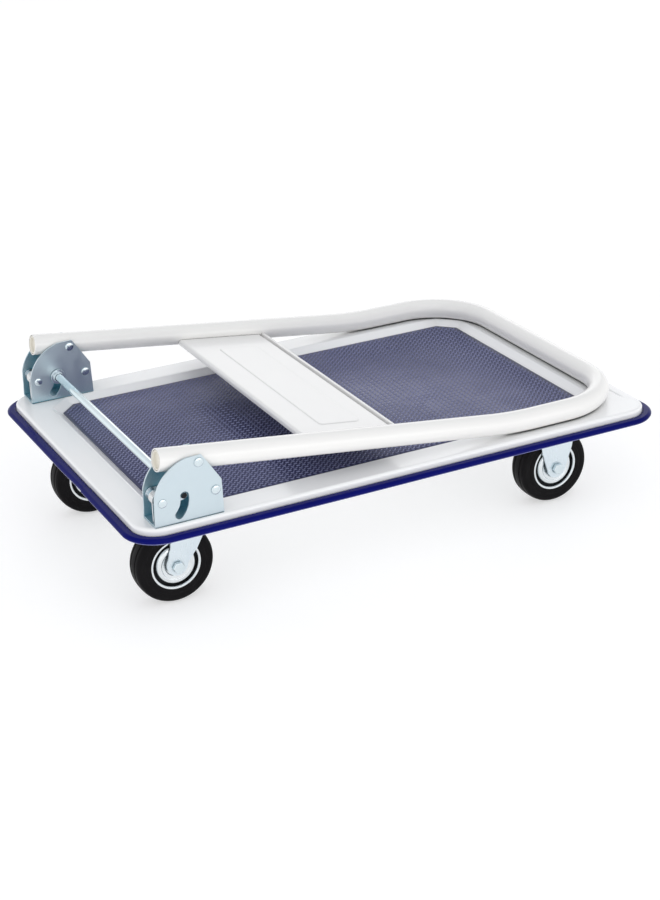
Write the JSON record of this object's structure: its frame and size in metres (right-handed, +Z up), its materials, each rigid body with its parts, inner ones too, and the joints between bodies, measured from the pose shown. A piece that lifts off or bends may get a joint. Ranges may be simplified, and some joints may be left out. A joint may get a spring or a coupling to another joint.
{
  "type": "folding platform truck",
  "caption": "Flatbed platform truck with a folding tube handle, a spring-loaded foot latch bar, an edge bumper, swivel casters at the handle end and fixed casters at the other.",
  "frame": {"origin": "on the floor, at the centre of the bumper's outline", "axes": "+X towards the fixed-caster end, -X towards the handle end, +Z up, -Y the side seen nearest"},
  "size_m": [0.724, 0.488, 0.2305],
  "materials": {
    "deck_paint": "cool white powder coat, satin gloss",
    "mat_vinyl": "dark slate blue embossed mat",
    "bumper_vinyl": "royal blue soft vinyl",
    "channel_steel": "grey-white painted channel",
    "zinc_steel": "bright bluish zinc plate",
    "fastener_zinc": "bright zinc plated fasteners",
    "spring_steel": "bright spring wire",
    "handle_paint": "warm white powder coat",
    "plug_plastic": "ivory plastic",
    "bush_nylon": "natural nylon",
    "tyre_rubber": "black solid rubber",
    "rim_zinc": "bright pressed zinc plated steel",
    "hub_steel": "plain steel"
  },
  "bodies": {
    "deck": {"deck_pan": "deck_paint", "deck_mat": "mat_vinyl", "edge_bumper": "bumper_vinyl", "crossmember_rear": "channel_steel", "crossmember_front": "channel_steel", "deck_stiffeners": "channel_steel", "caster_bolts": "fastener_zinc", "caster_nuts": "fastener_zinc", "bracket_right": "zinc_steel", "bracket_left": "zinc_steel", "bracket_bolts": "fastener_zinc", "bracket_nuts": "fastener_zinc", "pivot_pins": "fastener_zinc", "stop_pins": "fastener_zinc", "spring_pins": "fastener_zinc", "pivot_washers": "bush_nylon", "latch_spring_right": "spring_steel", "latch_spring_left": "spring_steel", "swivel_plate_right": "zinc_steel", "swivel_plate_left": "zinc_steel", "king_pins": "fastener_zinc", "fixed_fork_right": "zinc_steel", "fixed_fork_left": "zinc_steel", "axle_sleeves_fixed": "hub_steel", "axle_bolt_fixed_right": "fastener_zinc", "axle_nut_fixed_right": "fastener_zinc", "axle_bolt_fixed_left": "fastener_zinc", "axle_nut_fixed_left": "fastener_zinc"},
    "handle": {"handle_tube": "handle_paint", "handle_panel": "handle_paint", "tube_plugs": "plug_plastic", "pivot_bushes": "bush_nylon"},
    "foot_bar": {"foot_bar": "fastener_zinc", "bar_washers": "fastener_zinc", "latch_yoke_right": "zinc_steel", "latch_yoke_left": "zinc_steel"},
    "swivel_right": {"swivel_fork_right": "zinc_steel", "swivel_balls_right": "hub_steel", "axle_bolt_swivel_right": "fastener_zinc", "axle_nut_swivel_right": "fastener_zinc", "axle_sleeve_swivel_right": "hub_steel"},
    "swivel_left": {"swivel_fork_left": "zinc_steel", "swivel_balls_left": "hub_steel", "axle_bolt_swivel_left": "fastener_zinc", "axle_nut_swivel_left": "fastener_zinc", "axle_sleeve_swivel_left": "hub_steel"},
    "wheel_swivel_right": {"tyre_swivel_right": "tyre_rubber", "rim_swivel_right": "rim_zinc", "hub_swivel_right": "hub_steel"},
    "wheel_swivel_left": {"tyre_swivel_left": "tyre_rubber", "rim_swivel_left": "rim_zinc", "hub_swivel_left": "hub_steel"},
    "wheel_fixed_right": {"tyre_fixed_right": "tyre_rubber", "rim_fixed_right": "rim_zinc", "hub_fixed_right": "hub_steel"},
    "wheel_fixed_left": {"tyre_fixed_left": "tyre_rubber", "rim_fixed_left": "rim_zinc", "hub_fixed_left": "hub_steel"}
  },
  "joints": [
    {"name": "handle_fold", "type": "hinge", "parent": "deck", "child": "handle", "pos_m": [-0.274, 0, 0.2113], "axis": [0, -1, 0], "range_deg": [0, 97]},
    {"name": "foot_bar_press", "type": "hinge", "parent": "deck", "child": "foot_bar", "pos_m": [-0.3204, 0, 0.171], "axis": [0, 1, 0], "range_deg": [0, 46], "stiffness_Nm_per_rad": 1, "springref_deg": -40.11},
    {"name": "swivel_right_turn", "type": "hinge", "parent": "deck", "child": "swivel_right", "pos_m": [-0.255, -0.14, 0.115], "axis": [0, 0, 1], "continuous": true},
    {"name": "swivel_left_turn", "type": "hinge", "parent": "deck", "child": "swivel_left", "pos_m": [-0.255, 0.14, 0.115], "axis": [0, 0, 1], "continuous": true},
    {"name": "wheel_swivel_right_spin", "type": "hinge", "parent": "swivel_right", "child": "wheel_swivel_right", "pos_m": [-0.281, -0.14, 0.05], "axis": [0, 1, 0], "continuous": true},
    {"name": "wheel_swivel_left_spin", "type": "hinge", "parent": "swivel_left", "child": "wheel_swivel_left", "pos_m": [-0.281, 0.14, 0.05], "axis": [0, 1, 0], "continuous": true},
    {"name": "wheel_fixed_right_spin", "type": "hinge", "parent": "deck", "child": "wheel_fixed_right", "pos_m": [0.255, -0.14, 0.05], "axis": [0, 1, 0], "continuous": true},
    {"name": "wheel_fixed_left_spin", "type": "hinge", "parent": "deck", "child": "wheel_fixed_left", "pos_m": [0.255, 0.14, 0.05], "axis": [0, 1, 0], "continuous": true}
  ]
}
